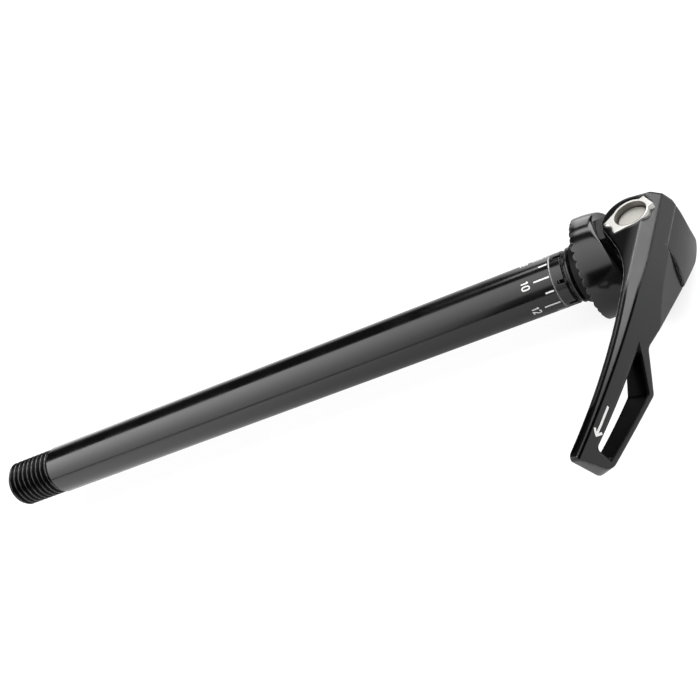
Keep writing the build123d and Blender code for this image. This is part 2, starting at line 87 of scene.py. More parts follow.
class Kit:
    """Short calls for one node tree."""

    def __init__(self, tree: bpy.types.NodeTree) -> None:
        """Keeps the node tree of a material, a world or a group, and empties it."""
        self.tree = tree
        tree.nodes.clear()

    def node(self, kind: str, **settings: object) -> bpy.types.Node:
        """Adds one node.

        Args:
            kind: Blender's name of the node type.
            settings: Attributes to set on it.

        Returns:
            The new node.
        """
        made = self.tree.nodes.new(kind)
        for name, value in settings.items():
            setattr(made, name, value)
        return made

    def feed(self, socket: Socket, value: Value) -> None:
        """Links a socket to an input, or sets the input's own value.

        Args:
            socket: Input that takes the value.
            value: Output socket, number or vector.
        """
        if isinstance(value, bpy.types.NodeSocket):
            self.tree.links.new(value, socket)
        else:
            socket.default_value = value

    def math(
            self, operation: str, first: Value, second: Value = 0.0, kind: str = "ShaderNodeMath",
    ) -> Socket:
        """Adds a Math node, or a Vector Math node that gives a number.

        Args:
            operation: Blender's name of the operation.
            first: First input.
            second: Second input.
            kind: Blender's name of the node type.

        Returns:
            The node's output.
        """
        made = self.node(kind, operation=operation)
        self.feed(made.inputs[0], first)
        self.feed(made.inputs[1], second)
        return made.outputs["Value"]

    def times(self, *factors: Value) -> Value:
        """Multiplies values, one after the other."""
        return reduce(partial(self.math, "MULTIPLY"), factors)

    def plus(self, first: Value, second: Value) -> Socket:
        """Adds two values."""
        return self.math("ADD", first, second)

    def minus(self, first: Value, second: Value) -> Socket:
        """Takes the second value from the first."""
        return self.math("SUBTRACT", first, second)

    def dot(self, first: Value, second: Value) -> Socket:
        """Dot product of two vectors."""
        return self.math("DOT_PRODUCT", first, second, "ShaderNodeVectorMath")

    def ramp(self, value: Value, low: float, high: float, to_low: Value, to_high: Value) -> Socket:
        """Eases a value from one range to another.

        Args:
            value: Input value.
            low: Input at which the result is to_low.
            high: Input at which the result is to_high.
            to_low: Result at and below low.
            to_high: Result at and above high.

        Returns:
            The eased value.
        """
        made = self.node("ShaderNodeMapRange", interpolation_type="SMOOTHSTEP", clamp=True)
        names = ("Value", "From Min", "From Max", "To Min", "To Max")
        for name, given in zip(names, (value, low, high, to_low, to_high)):
            self.feed(made.inputs[name], given)
        return made.outputs["Result"]

    def rise(self, value: Value, span: Span) -> Socket:
        """Eased step from 0 up to 1, over a span of the value."""
        return self.ramp(value, *span, 0.0, 1.0)

    def fall(self, value: Value, span: Span) -> Socket:
        """Eased step from 1 down to 0, over a span of the value."""
        return self.ramp(value, *span, 1.0, 0.0)

    def parts(self, vector: Socket) -> list[Socket]:
        """Splits a vector.

        Args:
            vector: Vector to split.

        Returns:
            Its x, y and z.
        """
        made = self.node("ShaderNodeSeparateXYZ")
        self.feed(made.inputs[0], vector)
        return [made.outputs[name] for name in "XYZ"]

    def mix(self, share: Value, first: Value, second: Value) -> Socket:
        """Mixes two colours.

        Args:
            share: Share of the second colour.
            first: First colour.
            second: Second colour.

        Returns:
            The mixed colour.
        """
        made = self.node("ShaderNodeMix", data_type="RGBA")
        # The node's colours are its inputs 6 and 7 and its output 2.
        self.feed(made.inputs[0], share)
        self.feed(made.inputs[6], first)
        self.feed(made.inputs[7], second)
        return made.outputs[2]

    def noise(self, scale: Value, detail: float) -> Socket:
        """Adds a Noise Texture on the object's own coordinates.

        Args:
            scale: Waves for each metre.
            detail: Number of finer layers.

        Returns:
            The noise's value, about 0.5 on average.
        """
        made = self.node("ShaderNodeTexNoise")
        self.feed(made.inputs["Vector"], self.place())
        self.feed(made.inputs["Scale"], scale)
        made.inputs["Detail"].default_value = detail
        return made.outputs["Fac"]

    def place(self) -> Socket:
        """Reads the object's own coordinates, in metres."""
        return self.node("ShaderNodeTexCoord").outputs["Object"]

    def for_camera(self, seen: bpy.types.Node, mirrored: bpy.types.Node, end: str) -> None:
        """Ends the tree with one shader for the camera's own rays and another for all others.

        Args:
            seen: Shader that the camera sees.
            mirrored: Shader that lights the part.
            end: Blender's name of the output node.
        """
        choose = self.node("ShaderNodeMixShader")
        self.feed(choose.inputs[0], self.node("ShaderNodeLightPath").outputs["Is Camera Ray"])
        self.feed(choose.inputs[1], mirrored.outputs[0])
        self.feed(choose.inputs[2], seen.outputs[0])
        self.feed(self.node(end).inputs["Surface"], choose.outputs[0])


def new_group(
        name: str, inputs: dict[str, str], outputs: Sequence[str],
) -> tuple[Kit, bpy.types.Node, bpy.types.Node]:
    """Starts a shader node group with named sockets.

    Args:
        name: Name of the group.
        inputs: Socket type of each input by name.
        outputs: Names of the outputs, which are numbers.

    Returns:
        The group's kit, its input node and its output node.
    """
    tree = bpy.data.node_groups.new(name, "ShaderNodeTree")
    for label, kind in inputs.items():
        tree.interface.new_socket(label, in_out="INPUT", socket_type=kind)
    for label in outputs:
        tree.interface.new_socket(label, in_out="OUTPUT", socket_type=NUMBER)
    kit = Kit(tree)
    return kit, kit.node("NodeGroupInput"), kit.node("NodeGroupOutput")


def grain_group(
        cloud: float = 0.06, cloud_share: float = 0.6, smear: float = 0.02, gloss: Span = (0.3, 0.7),
) -> bpy.types.NodeTree:
    """Builds the grain of a blasted or moulded skin: coarse cloud plus fine speckle.

    Args:
        cloud: Scale of the cloud, as a share of the speckle's.
        cloud_share: Share of the cloud in the tone.
        smear: Scale of the smears in the gloss, as a share of the speckle's.
        gloss: Noise between which the gloss goes from 0 to 1.

    Returns:
        Group with outputs Tone, Height and Gloss, all from 0 to 1.
    """
    kit, given, out = new_group("skin_grain", {"Scale": NUMBER}, ("Tone", "Height", "Gloss"))
    scale = given.outputs["Scale"]
    coarse = kit.noise(kit.times(scale, cloud), detail=2.0)
    fine = kit.noise(scale, detail=4.0)
    smears = kit.noise(kit.times(scale, smear), detail=5.0)
    tone = kit.plus(kit.times(coarse, cloud_share), kit.times(fine, 1.0 - cloud_share))
    kit.feed(out.inputs["Tone"], tone)
    kit.feed(out.inputs["Height"], fine)
    kit.feed(out.inputs["Gloss"], kit.rise(smears, gloss))
    return kit.tree


def lines_group() -> bpy.types.NodeTree:
    """Builds lathe marks: a fine wave along one coordinate, uneven from mark to mark.

    Returns:
        Group with output Height from 0 to 1.
    """
    kit, given, out = new_group("lathe_lines", {"Along": NUMBER, "Pitch": NUMBER}, ("Height",))
    made = kit.node("ShaderNodeTexNoise", noise_dimensions="1D")
    kit.feed(made.inputs["W"], kit.math("DIVIDE", given.outputs["Along"], given.outputs["Pitch"]))
    made.inputs["Scale"].default_value = 1.0
    made.inputs["Detail"].default_value = 3.0
    kit.feed(out.inputs["Height"], made.outputs["Fac"])
    return kit.tree


def edge_group(
        turned: Span = (0.02, 0.2), breaks: Span = (0.3, 0.62), least: float = 0.2,
) -> bpy.types.NodeTree:
    """Builds the mask of painted edge highlights: where a rounded normal leaves the true one, broken by
    noise.

    Args:
        turned: Departures of the normal between which the mask goes from 0 to 1.
        breaks: Noise between which the painted highlight goes from its least to all of it.
        least: Least share of the painted highlight.

    Returns:
        Group with output Mask from 0 to 1.
    """
    kit, given, out = new_group("painted_edge_highlight", {"Round": "NodeSocketVector", "Scale": NUMBER}, ("Mask",))
    facing = kit.dot(given.outputs["Round"], kit.node("ShaderNodeNewGeometry").outputs["Normal"])
    broken = kit.ramp(kit.noise(given.outputs["Scale"], detail=4.0), *breaks, least, 1.0)
    kit.feed(out.inputs["Mask"], kit.times(kit.rise(kit.minus(1.0, facing), turned), broken))
    return kit.tree


@dataclass(frozen=True)
class Effects:
    """Node groups that the finishes share."""

    grain: bpy.types.NodeTree
    lines: bpy.types.NodeTree
    edge: bpy.types.NodeTree

    @classmethod
    def made(cls) -> "Effects":
        """Builds the three groups once."""
        return cls(grain_group(), lines_group(), edge_group())


@dataclass(frozen=True)
class Finish:
    """Finish of one material: colour, gloss, skin grain, lathe marks, painted edge highlights and painted
    shade in a bore.
    """

    name: str
    colour: Colour
    shade: float
    roughness: float
    spread: float
    ior: float = 1.5
    metallic: float = 0.0
    grain: float = 4000.0
    depth: float = 0.05
    pitch: float = 0.00025
    cut: float = 0.0
    bump: float = 0.4
    bump_mm: float = 0.05
    round_mm: float = 0.15
    edge_colour: Colour = (0.3, 0.3, 0.3)
    edge_share: float = 0.0
    edge_mm: float = 0.14
    edge_grain: float = 0.2
    grime_r: float = 0.0
    grime_soft: float = 0.1
    grime_share: float = 0.9
    grime_colour: Colour = (0.1, 0.09, 0.08)

    def along(self, kit: Kit, lines: Lines) -> Socket:
        """Coordinate along which the tool moved.

        Args:
            kit: Kit of the material's tree.
            lines: Way in which the marks run.

        Returns:
            Distance along the axle or from the pivot, in metres.
        """
        x, y, _ = kit.parts(kit.place())
        if lines is Lines.ALONG_AXLE:
            return x
        across = kit.minus(x, Pivot.x * MM)
        return kit.math("SQRT", kit.plus(kit.math("POWER", across, 2.0), kit.math("POWER", y, 2.0)))

    def normal(self, kit: Kit, effects: Effects, fine: Socket, lines: Lines) -> Socket:
        """Normal with rounded edges, the skin's grain and the tool's marks.

        Args:
            kit: Kit of the material's tree.
            effects: Shared node groups.
            fine: Height of the grain.
            lines: Way in which the marks run.

        Returns:
            The normal.
        """
        height = kit.times(fine, self.depth)
        if lines is not Lines.NONE:
            marks = kit.node("ShaderNodeGroup", node_tree=effects.lines)
            marks.inputs["Pitch"].default_value = self.pitch
            kit.feed(marks.inputs["Along"], self.along(kit, lines))
            height = kit.plus(height, kit.times(marks.outputs["Height"], self.cut))
        rounded = kit.node("ShaderNodeBevel", samples=8)
        rounded.inputs["Radius"].default_value = self.round_mm * MM
        bump = kit.node("ShaderNodeBump")
        bump.inputs["Strength"].default_value = self.bump
        bump.inputs["Distance"].default_value = self.bump_mm * MM
        kit.feed(bump.inputs["Height"], height)
        kit.feed(bump.inputs["Normal"], rounded.outputs["Normal"])
        return bump.outputs["Normal"]

    def material(
            self, effects: Effects, lines: Lines = Lines.NONE, dull: Optional[Masks] = None,
    ) -> bpy.types.Material:
        """Builds the material.

        Args:
            effects: Shared node groups.
            lines: Way in which tool marks run, if there are any.
            dull: Maker of two masks of painted shade, if there are such places: where the black loses its
                reflections but painted edge highlights still show, and where neither shows.

        Returns:
            The node material.
        """
        made = bpy.data.materials.new(self.name)
        made.use_nodes = True
        kit = Kit(made.node_tree)
        shader = kit.node("ShaderNodeBsdfPrincipled")
        kit.feed(kit.node("ShaderNodeOutputMaterial").inputs["Surface"], shader.outputs["BSDF"])
        shader.inputs["IOR"].default_value = self.ior
        shader.inputs["Metallic"].default_value = self.metallic
        grain = kit.node("ShaderNodeGroup", node_tree=effects.grain)
        grain.inputs["Scale"].default_value = self.grain
        kit.feed(shader.inputs["Normal"], self.normal(kit, effects, grain.outputs["Height"], lines))
        dark, light = (
            (*(channel * (1.0 + side * self.shade) for channel in self.colour), 1.0) for side in (-1, 1))
        colour = kit.mix(grain.outputs["Tone"], dark, light)
        matt, kept = 0.0, 1.0
        if dull is not None:
            matt, full_shade = dull(kit)
            matt = kit.math("MAXIMUM", matt, full_shade)
            kept = kit.minus(1.0, full_shade)
        # Painted shade: the colour darkens within a radius of the pivot, where the bore lies in shade.
        if self.grime_r > 0.0:
            rim = (self.grime_r * MM, (self.grime_r + self.grime_soft) * MM)
            bore_shade = kit.ramp(self.along(kit, Lines.ROUND_PIVOT), *rim, self.grime_share, 0.0)
            colour = kit.mix(bore_shade, colour, (*self.grime_colour, 1.0))
        # Painted highlight: a lighter colour along the edges, where a narrow rounded normal leaves the true
        # one.
        if self.edge_share > 0.0:
            edge = kit.node("ShaderNodeGroup", node_tree=effects.edge)
            edge.inputs["Scale"].default_value = self.grain * self.edge_grain
            narrow = kit.node("ShaderNodeBevel", samples=6)
            narrow.inputs["Radius"].default_value = self.edge_mm * MM
            kit.feed(edge.inputs["Round"], narrow.outputs["Normal"])
            highlight = kit.times(edge.outputs["Mask"], self.edge_share, kept)
            colour = kit.mix(highlight, colour, (*self.edge_colour, 1.0))
            matt = kit.times(matt, kit.minus(1.0, highlight))
        # Painted shade: in the masked places the near-black base turns metallic, which takes the reflections
        # away.
        if dull is not None:
            kit.feed(shader.inputs["Metallic"], matt)
        kit.feed(shader.inputs["Base Color"], colour)
        low, high = self.roughness - self.spread, self.roughness + self.spread
        kit.feed(shader.inputs["Roughness"], kit.ramp(grain.outputs["Gloss"], 0.0, 1.0, low, high))
        return made


@dataclass(frozen=True)
class Finishes:
    """Finishes of this axle, by the piece that wears them."""

    tube: Finish = Finish(
        "anodised_tube_black", DEEP_BLACK, 0.3, 0.17, 0.03, ior=1.62, grain=5000.0,
        depth=0.02, pitch=0.0004, cut=0.03, round_mm=0.12)
    groove: Finish = Finish(
        "cut_thread_black", DEEP_BLACK, 0.3, 0.3, 0.04, ior=1.2, grain=5000.0, depth=0.03)
    cup: Finish = Finish(
        "polished_cup_black", (0.0022, 0.0022, 0.0024), 0.3, 0.14, 0.03, ior=1.62, grain=4500.0,
        depth=0.02, pitch=0.0005, cut=0.02, round_mm=0.3)
    # The collet's edges are lightened by a painted highlight.
    collet: Finish = Finish(
        "collet_black", DEEP_BLACK, 0.3, 0.18, 0.03, ior=1.62, grain=5000.0,
        depth=0.02, pitch=0.0003, cut=0.03, round_mm=0.12, edge_colour=(0.22, 0.22, 0.22), edge_share=0.7)
    boss: Finish = Finish(
        "matt_boss_black", DEEP_BLACK, 0.3, 0.5, 0.05, ior=1.25, grain=3500.0,
        depth=0.05, pitch=0.0004, cut=0.05)
    # The lever's edges are lightened by a painted highlight.
    lever: Finish = Finish(
        "satin_lever_black", (0.003, 0.003, 0.0032), 0.3, 0.23, 0.03, ior=1.54, grain=3800.0,
        depth=0.1, round_mm=0.8, edge_colour=(0.6, 0.6, 0.6), edge_share=0.75, edge_mm=0.2)
    # The bush's bore is darkened by painted shade near the pivot.
    bush: Finish = Finish(
        "bush_silver", (0.80, 0.79, 0.755), 0.06, 0.42, 0.05, metallic=1.0, grain=3000.0,
        depth=0.05, pitch=0.0003, cut=0.06, round_mm=0.12, grime_r=3.55)
    pin: Finish = Finish(
        "turned_pin_steel", (0.60, 0.588, 0.55), 0.06, 0.5, 0.05, metallic=1.0, grain=3000.0,
        depth=0.03, pitch=0.00035, cut=0.1, round_mm=0.12)
    bare_edge: Finish = Finish(
        "machined_edge_bare", (0.5, 0.5, 0.5), 0.1, 0.5, 0.05, metallic=0.6, grain=4000.0, round_mm=0.05)
    bolt: Finish = Finish(
        "bolt_steel", (0.30, 0.29, 0.28), 0.2, 0.35, 0.06, metallic=1.0, grain=2500.0,
        depth=0.1, pitch=0.0004, cut=0.05, round_mm=0.1)
    spring: Finish = Finish(
        "spring_steel", (0.45, 0.44, 0.42), 0.15, 0.3, 0.05, metallic=1.0, grain=3500.0, depth=0.06)
    pad: Finish = Finish(
        "pad_plastic", (0.012, 0.012, 0.013), 0.3, 0.45, 0.05, ior=1.48, grain=1800.0, depth=0.25,
        round_mm=0.2)
    print_white: Finish = Finish(
        "printed_white", (0.83, 0.83, 0.82), 0.05, 0.5, 0.06, grain=3000.0, depth=0.12, round_mm=0.03)


def grid_quads(rows: int, columns: int, wrap: bool) -> np.ndarray:
    """Faces of a grid of points: each joins four neighbours.

    Args:
        rows: Number of rows of points.
        columns: Number of points in a row.
        wrap: Whether the last row and column join the first.

    Returns:
        Corner numbers, one row of four for each face.
    """
    across = np.arange(columns if wrap else columns - 1)
    down = np.arange(rows if wrap else rows - 1)
    row, column = (part.ravel() for part in np.meshgrid(down, across, indexing="ij"))
    next_row, next_column = (row + 1) % rows, (column + 1) % columns
    corners = ((row, column), (next_row, column), (next_row, next_column), (row, next_column))
    return np.stack([r * columns + c for r, c in corners], axis=1)


def turned(x: np.ndarray, r: np.ndarray, turn: np.ndarray) -> tuple[np.ndarray, np.ndarray]:
    """Carries a closed profile round the axle: (x, r cos turn, r sin turn), row by row."""
    points = np.stack([x, r * np.cos(turn), r * np.sin(turn)], axis=-1).reshape(-1, 3)
    return points, grid_quads(len(x), len(turn), True)


def face_middles(points: np.ndarray, quads: np.ndarray) -> tuple[np.ndarray, np.ndarray]:
    """Places along the axle, and distances from it, of the means of each face's corners."""
    middles = points[quads].mean(axis=1)
    return middles[:, 0], np.hypot(middles[:, 1], middles[:, 2])


def mesh_object(
        name: str, points: np.ndarray, quads: np.ndarray, sharp_deg: float = 30.0,
) -> bpy.types.Object:
    """Makes a smooth mesh with sharp edges where its faces turn.

    Args:
        name: Name of the object.
        points: Places in millimetres, one row each.
        quads: Corner numbers of the faces.
        sharp_deg: Turn above which an edge is sharp.

    Returns:
        The object, linked to the scene.
    """
    mesh = bpy.data.meshes.new(name)
    mesh.vertices.add(len(points))
    mesh.vertices.foreach_set("co", (points * MM).astype(np.float32).ravel())
    mesh.loops.add(quads.size)
    mesh.loops.foreach_set("vertex_index", quads.astype(np.int32).ravel())
    mesh.polygons.add(len(quads))
    mesh.polygons.foreach_set("loop_start", np.arange(len(quads), dtype=np.int32) * quads.shape[1])
    mesh.update(calc_edges=True)
    mesh.validate()
    mesh.shade_smooth()
    mesh.set_sharp_from_angle(angle=np.radians(sharp_deg))
    made = bpy.data.objects.new(name, mesh)
    bpy.context.scene.collection.objects.link(made)
    LOG.info("%s: %d faces", name, len(quads))
    return made


def wear(target: bpy.types.Object, material: bpy.types.Material) -> None:
    """Puts one material on every slot of an object.

    Args:
        target: Object to dress.
        material: Material that it takes.
    """
    if not target.data.materials:
        target.data.materials.append(material)
    for slot in target.material_slots:
        slot.material = material


def dress_node(node: str, material: bpy.types.Material) -> None:
    """Dresses one node of the frame and reports it."""
    wear(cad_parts[node], material)
    LOG.info("%s wears %s", node, material.name)


def corner_rounds(path: np.ndarray, radius: float, steps: int, most: float = 0.45) -> np.ndarray:
    """Rounds the corners of a profile with quadratic curves.

    Each inner corner P becomes (1-t)^2 A + 2 t (1-t) P + t^2 B, with A and B a radius away on its sides.

    Args:
        path: Corners as (x, radius) rows.
        radius: Distance from a corner at which its round starts.
        steps: Points in each round.
        most: Largest share of a side that a round takes.

    Returns:
        The rounded path.
    """
    before, corner, after = path[:-2], path[1:-1], path[2:]
    back, ahead = before - corner, after - corner
    back_length = np.linalg.norm(back, axis=1, keepdims=True)
    ahead_length = np.linalg.norm(ahead, axis=1, keepdims=True)
    start = corner + back / back_length * np.minimum(radius, most * back_length)
    stop = corner + ahead / ahead_length * np.minimum(radius, most * ahead_length)
    t = np.linspace(0.0, 1.0, steps)[None, :, None]
    curve = (1 - t) ** 2 * start[:, None] + 2 * t * (1 - t) * corner[:, None] + t ** 2 * stop[:, None]
    return np.concatenate([path[:1], curve.reshape(-1, 2), path[-1:]])


@dataclass
class AxleTube:
    """Hollow axle with its thread, journal, bore, bolt seat, splined socket and end cone, in millimetres."""

    journal_r: float = 6.0
    journal_length: float = 142.5
    thread_r: float = 5.82
    thread_length: float = 14.5
    thread_pitch: float = 1.5
    thread_depth: float = 0.8
    thread_chamfer: float = 1.3
    flank_top: float = 0.92
    flank_width: float = 0.68
    pitch_rows: int = 22
    run_out: float = 0.9
    crest_height: float = 0.15
    bore_r: float = 4.0
    bore_round: float = 0.04
    mouth: float = 0.5
    pocket_r: float = 3.8
    pocket_start: float = -22.0
    seat_x: float = -16.0
    hole_r: float = 2.8
    web_x: float = -12.0
    socket_root: float = 3.85
    socket_tip: float = 4.35
    splines: int = 12
    spline_steep: float = 3.0
    spline_bias: float = 0.6
    cone_length: float = 1.2
    cone_r: float = 4.95
    lip_r: float = 5.55
    bevel: float = 0.22
    bevel_round: float = 0.044
    bevel_slack: float = 0.02
    row_gap: float = 0.02
    columns: int = 144

    @property
    def end_x(self) -> float:
        """Place of the threaded end."""
        return -(self.journal_length + self.thread_length)

    def outer_rows(self) -> np.ndarray:
        """Profile from the end cone along the journal, with small rounds at its corners.

        Returns:
            Places along the axle and radii, one row each.
        """
        path = np.array([
            (self.cone_length, self.cone_r), (0.0, self.lip_r), (0.0, self.journal_r - self.bevel),
            (-self.bevel, self.journal_r), (-self.journal_length, self.journal_r),
            (-self.journal_length, self.thread_r - self.row_gap),
        ])
        return corner_rounds(path, self.bevel_round, steps=4)

    def thread_rows(self, turn: np.ndarray) -> tuple[np.ndarray, np.ndarray]:
        """Helical thread: the radius falls by a clipped triangle wave of x / pitch - turn / 2 pi.

        The wave fades over the run-out by the journal, and the end chamfer cuts the crests.

        Args:
            turn: Angles of the columns.

        Returns:
            Places along the axle, and radii by row and column.
        """
        rows = int(self.thread_length / self.thread_pitch * self.pitch_rows)
        x = np.linspace(-self.journal_length - self.row_gap, self.end_x, rows)
        phase = np.mod(x[:, None] / self.thread_pitch - turn[None, :] / (2 * np.pi), 1.0)
        away = np.abs(phase - 0.5) * 2.0
        wave = np.clip((self.flank_top - away) / self.flank_width, 0.0, 1.0)
        fade = np.clip((-self.journal_length - x) / self.run_out, 0.0, 1.0)[:, None]
        radius = self.thread_r - self.thread_depth * fade * wave
        chamfer = self.thread_r - self.thread_chamfer + (x - self.end_x)
        return x, np.minimum(radius, chamfer[:, None])

    def inner_rows(self) -> np.ndarray:
        """Profile from the threaded end's face through the bore to the web's far side.

        Returns:
            Places along the axle and radii, one row each.
        """
        path = np.array([
            (self.end_x, self.thread_r - self.thread_chamfer - 0.5 * self.row_gap),
            (self.end_x, self.bore_r + self.mouth), (self.end_x + self.mouth, self.bore_r),
            (self.pocket_start, self.bore_r), (self.pocket_start, self.pocket_r),
            (self.seat_x, self.pocket_r), (self.seat_x, self.hole_r), (self.web_x, self.hole_r),
        ])
        return corner_rounds(path, self.bore_round, steps=3)

    def socket_rows(self, turn: np.ndarray) -> tuple[np.ndarray, np.ndarray]:
        """Splined socket: the radius steps between root and tip with a clipped cos(splines x turn).

        Args:
            turn: Angles of the columns.

        Returns:
            Places along the axle, and radii by row and column.
        """
        x = np.array([self.web_x, self.web_x, self.cone_length])
        wave = np.cos(self.splines * turn) * self.spline_steep + self.spline_bias
        share = np.clip(wave, -1.0, 1.0) * 0.5 + 0.5
        teeth = self.socket_root + (self.socket_tip - self.socket_root) * share
        return x, np.stack([np.full_like(turn, self.hole_r + 0.5 * self.row_gap), teeth, teeth])

    def finish_index(self, x: np.ndarray, r: np.ndarray) -> np.ndarray:
        """Sorts faces: 1 on the bevel, where x + r = journal_r - bevel, 2 in the thread's grooves, else 0.

        Args:
            x: Places of the faces' middles along the axle.
            r: Distances of the faces' middles from the axle.

        Returns:
            Number of each face's material.
        """
        bevel = (np.abs(x + r - self.journal_r + self.bevel) < self.bevel_slack) & (r > self.lip_r)
        groove = (x < -self.journal_length) & (r < self.thread_r - self.crest_height)
        return bevel.astype(np.int32) + 2 * groove.astype(np.int32)

    def build(self) -> bpy.types.Object:
        """Joins the four stretches of the profile and carries them round the axle.

        Returns:
            The tube.
        """
        turn = np.linspace(0.0, 2 * np.pi, self.columns, endpoint=False)
        outer, inner = self.outer_rows(), self.inner_rows()
        thread_x, thread_r = self.thread_rows(turn)
        socket_x, socket_r = self.socket_rows(turn)
        spread = np.ones((1, self.columns))
        x = np.concatenate([outer[:, 0], thread_x, inner[:, 0], socket_x])[:, None] * spread
        r = np.concatenate([outer[:, 1:] * spread, thread_r, inner[:, 1:] * spread, socket_r])
        points, quads = turned(x, r, turn)
        made = mesh_object("threaded_tube", points, quads)
        made.data.polygons.foreach_set("material_index", self.finish_index(*face_middles(points, quads)))
        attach(made, Body.AXLE.value)
        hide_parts("axle_tube")
        return made

    def dress(self, made: bpy.types.Object, finishes: Finishes, effects: Effects) -> None:
        """Gives the tube its anodised black, its bevel bare metal and its thread's grooves a matt black.

        Args:
            made: The tube.
            finishes: Finishes of the axle.
            effects: Shared node groups.
        """
        made.data.materials.append(finishes.tube.material(effects, Lines.ALONG_AXLE))
        made.data.materials.append(finishes.bare_edge.material(effects))
        made.data.materials.append(finishes.groove.material(effects))


def stroke(path: np.ndarray, width: float) -> Ribbon:
    """Flat ribbon along a path: each point gives two, half a width to its left and right.

    Args:
        path: Points as (w, h) rows.
        width: Width of the ribbon.

    Returns:
        Points as (w, h) rows, and faces.
    """
    along = np.gradient(path, axis=0)
    along /= np.linalg.norm(along, axis=1, keepdims=True)
    side = np.stack([-along[:, 1], along[:, 0]], axis=1) * width / 2
    points = np.stack([path - side, path + side], axis=1).reshape(-1, 2)
    return points, grid_quads(len(path), 2, False)[:, ::-1]


def joined(ribbons: Sequence[Ribbon]) -> Ribbon:
    """Joins ribbons into one set of points and faces.

    Args:
        ribbons: Points and faces of each ribbon.

    Returns:
        All the points, and the faces with their new corner numbers.
    """
    starts = np.cumsum([0] + [len(points) for points, _ in ribbons[:-1]])
    flat = np.concatenate([points for points, _ in ribbons])
    return flat, np.concatenate([faces + start for (_, faces), start in zip(ribbons, starts)])


def oval(
        centre: Sequence[float], half: Sequence[float], start: float, stop: float, steps: int,
        square: float = 0.6,
) -> np.ndarray:
    """Rounded box as a superellipse: half x sign(c) |c|^square with c the cosine or sine of the turn.

    Args:
        centre: Middle as (w, h).
        half: Half sizes.
        start: First angle in degrees.
        stop: Last angle in degrees.
        steps: Number of points.
        square: Power, 1 for an ellipse and less for a squarer form.

    Returns:
        Points as (w, h) rows.
    """
    turn = np.radians(np.linspace(start, stop, steps))
    round_box = np.stack([np.cos(turn), np.sin(turn)], axis=1)
    return np.asarray(centre) + np.asarray(half) * np.sign(round_box) * np.abs(round_box) ** square


def straight(*corners: Sequence[float], steps: int = 6) -> np.ndarray:
    """Points along straight runs from corner to corner.

    Args:
        corners: Corners as (w, h).
        steps: Points in each run.

    Returns:
        Points as (w, h) rows.
    """
    given = np.asarray(corners, dtype=float)
    share = np.linspace(0.0, len(given) - 1, (len(given) - 1) * steps + 1)
    index = np.arange(len(given))
    return np.stack([np.interp(share, index, given[:, 0]), np.interp(share, index, given[:, 1])], axis=1)


@dataclass
class PrintedScale:
    """White ticks and plain numbers printed round the tube's lever end, in millimetres."""

    radius: float = 6.012
    marks: int = 12
    first_deg: float = 126.9
    first_number: int = 10
    long_span: Span = (-4.15, -0.45)
    short_span: Span = (-2.45, -0.5)
    tick_width: float = 0.36
    line_width: float = 0.3
    digit_base: float = -7.0
    digit_height: float = 1.68
    digit_width: float = 0.78
    digit_gap: float = 0.44
    digit_overhang: float = 0.1
    digit_inset: float = 0.04

    def digit(self, figure: str) -> list[np.ndarray]:
        """Centre lines of one figure from its lower left corner, drawn in shares of its width and height.

        Args:
            figure: One of the figures that the scale needs.

        Returns:
            Paths as (w, h) rows.
        """
        w, h = self.digit_width, self.digit_height
        middle = (w / 2, h / 2)
        if figure == "0":
            return [oval(middle, middle, 0, 360, 44)]
        if figure == "1":
            flag = straight((w * 0.35, h * 0.78), (w * 0.72, h * 0.97))
            return [flag, straight((w * 0.72, 0), (w * 0.72, h))]
        if figure == "2":
            bow = oval((w / 2, h * 0.73), (w / 2, h * 0.27), 165, -40, 20)
            slant = straight((w * 0.7, h * 0.42), (self.digit_inset, self.digit_inset))
            foot = straight((-self.digit_overhang, 0), (w + self.digit_overhang / 2, 0))
            return [np.concatenate([bow, slant]), foot]
        if figure == "4":
            stem = straight((w * 0.68, 0), (w * 0.68, h), (0, h * 0.3))
            return [stem, straight((-self.digit_overhang, h * 0.3), (w, h * 0.3))]
        if figure == "6":
            hook = oval((w / 2, h * 0.7), (w / 2, h * 0.3), 175, 25, 16)
            back = np.concatenate([straight((0, h * 0.3), (0, h * 0.7)), hook])
            return [oval((w / 2, h * 0.3), (w / 2, h * 0.3), 0, 360, 40), back]
        lower = oval((w / 2, h * 0.25), (w / 2, h * 0.25), 0, 360, 40)
        return [lower, oval((w / 2, h * 0.76), (w * 0.45, h * 0.24), 0, 360, 40)]

    def number(self, value: int) -> list[np.ndarray]:
        """Centre lines of a whole number, centred on zero width.

        Args:
            value: The number.

        Returns:
            Paths as (w, h) rows.
        """
        figures = str(value)
        step = self.digit_width + self.digit_gap
        left = -(step * len(figures) - self.digit_gap) / 2
        return [
            path + (left + place * step, self.digit_base)
            for place, figure in enumerate(figures) for path in self.digit(figure)]

    def ribbons(self) -> list[Ribbon]:
        """Ribbons of all marks.

        Returns:
            Distances round the tube and places along it, and faces, for each ribbon.
        """
        made = []
        for mark in range(self.marks):
            away = np.radians(self.first_deg + mark * 360.0 / self.marks) * self.radius
            span = self.short_span if mark % 2 else self.long_span
            flat = [stroke(straight((0, span[0]), (0, span[1])), self.tick_width)]
            if mark % 2 == 0:
                value = (self.first_number + mark - 1) % self.marks + 1
                flat += [stroke(path, self.line_width) for path in self.number(value)]
            made += [(points + (away, 0.0), quads) for points, quads in flat]
        return made

    def build(self) -> bpy.types.Object:
        """Wraps the ribbons round the tube: (h, R cos(w / R), R sin(w / R)).

        Returns:
            The printed scale.
        """
        flat, quads = joined(self.ribbons())
        turn = flat[:, 0] / self.radius
        points = np.stack([flat[:, 1], self.radius * np.cos(turn), self.radius * np.sin(turn)], axis=1)
        made = mesh_object("printed_scale", points, quads)
        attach(made, Body.AXLE.value)
        return made

    def dress(self, made: bpy.types.Object, finishes: Finishes, effects: Effects) -> None:
        """Gives the scale its white print."""
        wear(made, finishes.print_white.material(effects))


